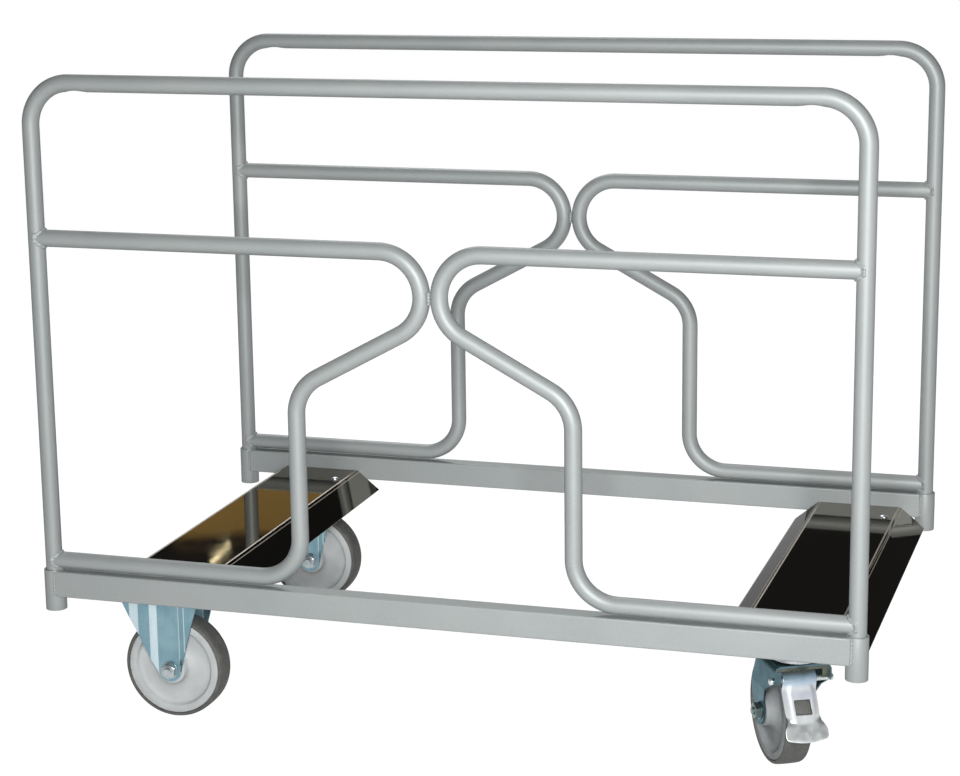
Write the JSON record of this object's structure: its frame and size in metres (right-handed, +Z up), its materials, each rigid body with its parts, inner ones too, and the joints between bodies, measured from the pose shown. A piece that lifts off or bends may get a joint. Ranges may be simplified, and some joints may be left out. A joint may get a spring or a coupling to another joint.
{
  "type": "table cart",
  "caption": "Low wheeled cart with two lift-out bent-tube side frames, folded cross trays, fixed casters at one end and braked swivel casters at the other.",
  "frame": {"origin": "on the floor under the middle of the cart", "axes": "+X along the cart towards its braked swivel casters, +Y towards its rear side frame, +Z up"},
  "size_m": [1.245, 0.794, 0.9912],
  "materials": {
    "silver_paint": "silver-grey satin paint with a slight metallic sheen",
    "bronze_gloss": "dark high-gloss sheet that mirrors what stands over it",
    "zinc_plate": "blue zinc plating on pressed steel",
    "bright_steel": "bright zinc plating",
    "grey_plastic": "light grey moulded nylon",
    "dark_rubber": "dark grey rubber, matt"
  },
  "bodies": {
    "base": {"front_rail": "silver_paint", "front_left_socket": "silver_paint", "front_right_socket": "silver_paint", "rear_rail": "silver_paint", "rear_left_socket": "silver_paint", "rear_right_socket": "silver_paint", "left_tray": "bronze_gloss", "right_tray": "bronze_gloss", "left_cross_bar": "silver_paint", "right_cross_bar": "silver_paint", "front_left_plate": "zinc_plate", "rear_left_plate": "zinc_plate", "front_right_plate": "zinc_plate", "rear_right_plate": "zinc_plate", "front_left_fork": "zinc_plate", "front_left_axle_bolt": "bright_steel", "front_left_axle_nut": "bright_steel", "front_left_sleeve": "bright_steel", "rear_left_fork": "zinc_plate", "rear_left_axle_bolt": "bright_steel", "rear_left_axle_nut": "bright_steel", "rear_left_sleeve": "bright_steel", "front_right_race_cup": "zinc_plate", "rear_right_race_cup": "zinc_plate"},
    "front_frame": {"front_hoop": "silver_paint", "front_left_infill": "silver_paint", "front_right_infill": "silver_paint", "front_centre_weld": "silver_paint"},
    "rear_frame": {"rear_hoop": "silver_paint", "rear_left_infill": "silver_paint", "rear_right_infill": "silver_paint", "rear_centre_weld": "silver_paint"},
    "front_left_wheel": {"front_left_core": "grey_plastic", "front_left_tyre": "dark_rubber"},
    "rear_left_wheel": {"rear_left_core": "grey_plastic", "rear_left_tyre": "dark_rubber"},
    "front_right_caster": {"front_right_fork": "zinc_plate", "front_right_race_cone": "zinc_plate", "front_right_kingpin": "bright_steel", "front_right_axle_bolt": "bright_steel", "front_right_axle_nut": "bright_steel", "front_right_sleeve": "bright_steel", "front_right_pedal_pin": "bright_steel"},
    "front_right_wheel": {"front_right_core": "grey_plastic", "front_right_tyre": "dark_rubber"},
    "front_right_brake": {"front_right_pedal": "bright_steel", "front_right_brake_shoe": "zinc_plate"},
    "rear_right_caster": {"rear_right_fork": "zinc_plate", "rear_right_race_cone": "zinc_plate", "rear_right_kingpin": "bright_steel", "rear_right_axle_bolt": "bright_steel", "rear_right_axle_nut": "bright_steel", "rear_right_sleeve": "bright_steel", "rear_right_pedal_pin": "bright_steel"},
    "rear_right_wheel": {"rear_right_core": "grey_plastic", "rear_right_tyre": "dark_rubber"},
    "rear_right_brake": {"rear_right_pedal": "bright_steel", "rear_right_brake_shoe": "zinc_plate"}
  },
  "joints": [
    {"name": "front_frame_lift", "type": "slide", "parent": "base", "child": "front_frame", "axis": [0, 0, 1], "range_m": [0, 0.055]},
    {"name": "rear_frame_lift", "type": "slide", "parent": "base", "child": "rear_frame", "axis": [0, 0, 1], "range_m": [0, 0.055]},
    {"name": "front_left_wheel_spin", "type": "hinge", "parent": "base", "child": "front_left_wheel", "pos_m": [-0.4485, -0.295, 0.08], "axis": [0, 1, 0], "continuous": true},
    {"name": "rear_left_wheel_spin", "type": "hinge", "parent": "base", "child": "rear_left_wheel", "pos_m": [-0.4485, 0.295, 0.08], "axis": [0, 1, 0], "continuous": true},
    {"name": "front_right_swivel", "type": "hinge", "parent": "base", "child": "front_right_caster", "pos_m": [0.508, -0.295, 0.19], "axis": [0, 0, 1], "continuous": true},
    {"name": "front_right_wheel_spin", "type": "hinge", "parent": "front_right_caster", "child": "front_right_wheel", "pos_m": [0.479, -0.24477, 0.08], "axis": [0.866, 0.5, 0], "continuous": true},
    {"name": "front_right_brake_pedal", "type": "hinge", "parent": "front_right_caster", "child": "front_right_brake", "pos_m": [0.519, -0.31405, 0.152], "axis": [-0.866, -0.5, 0], "range_deg": [0, 25]},
    {"name": "rear_right_swivel", "type": "hinge", "parent": "base", "child": "rear_right_caster", "pos_m": [0.508, 0.295, 0.19], "axis": [0, 0, 1], "continuous": true},
    {"name": "rear_right_wheel_spin", "type": "hinge", "parent": "rear_right_caster", "child": "rear_right_wheel", "pos_m": [0.479, 0.24477, 0.08], "axis": [-0.866, 0.5, 0], "continuous": true},
    {"name": "rear_right_brake_pedal", "type": "hinge", "parent": "rear_right_caster", "child": "rear_right_brake", "pos_m": [0.519, 0.31405, 0.152], "axis": [0.866, -0.5, 0], "range_deg": [0, 25]}
  ]
}
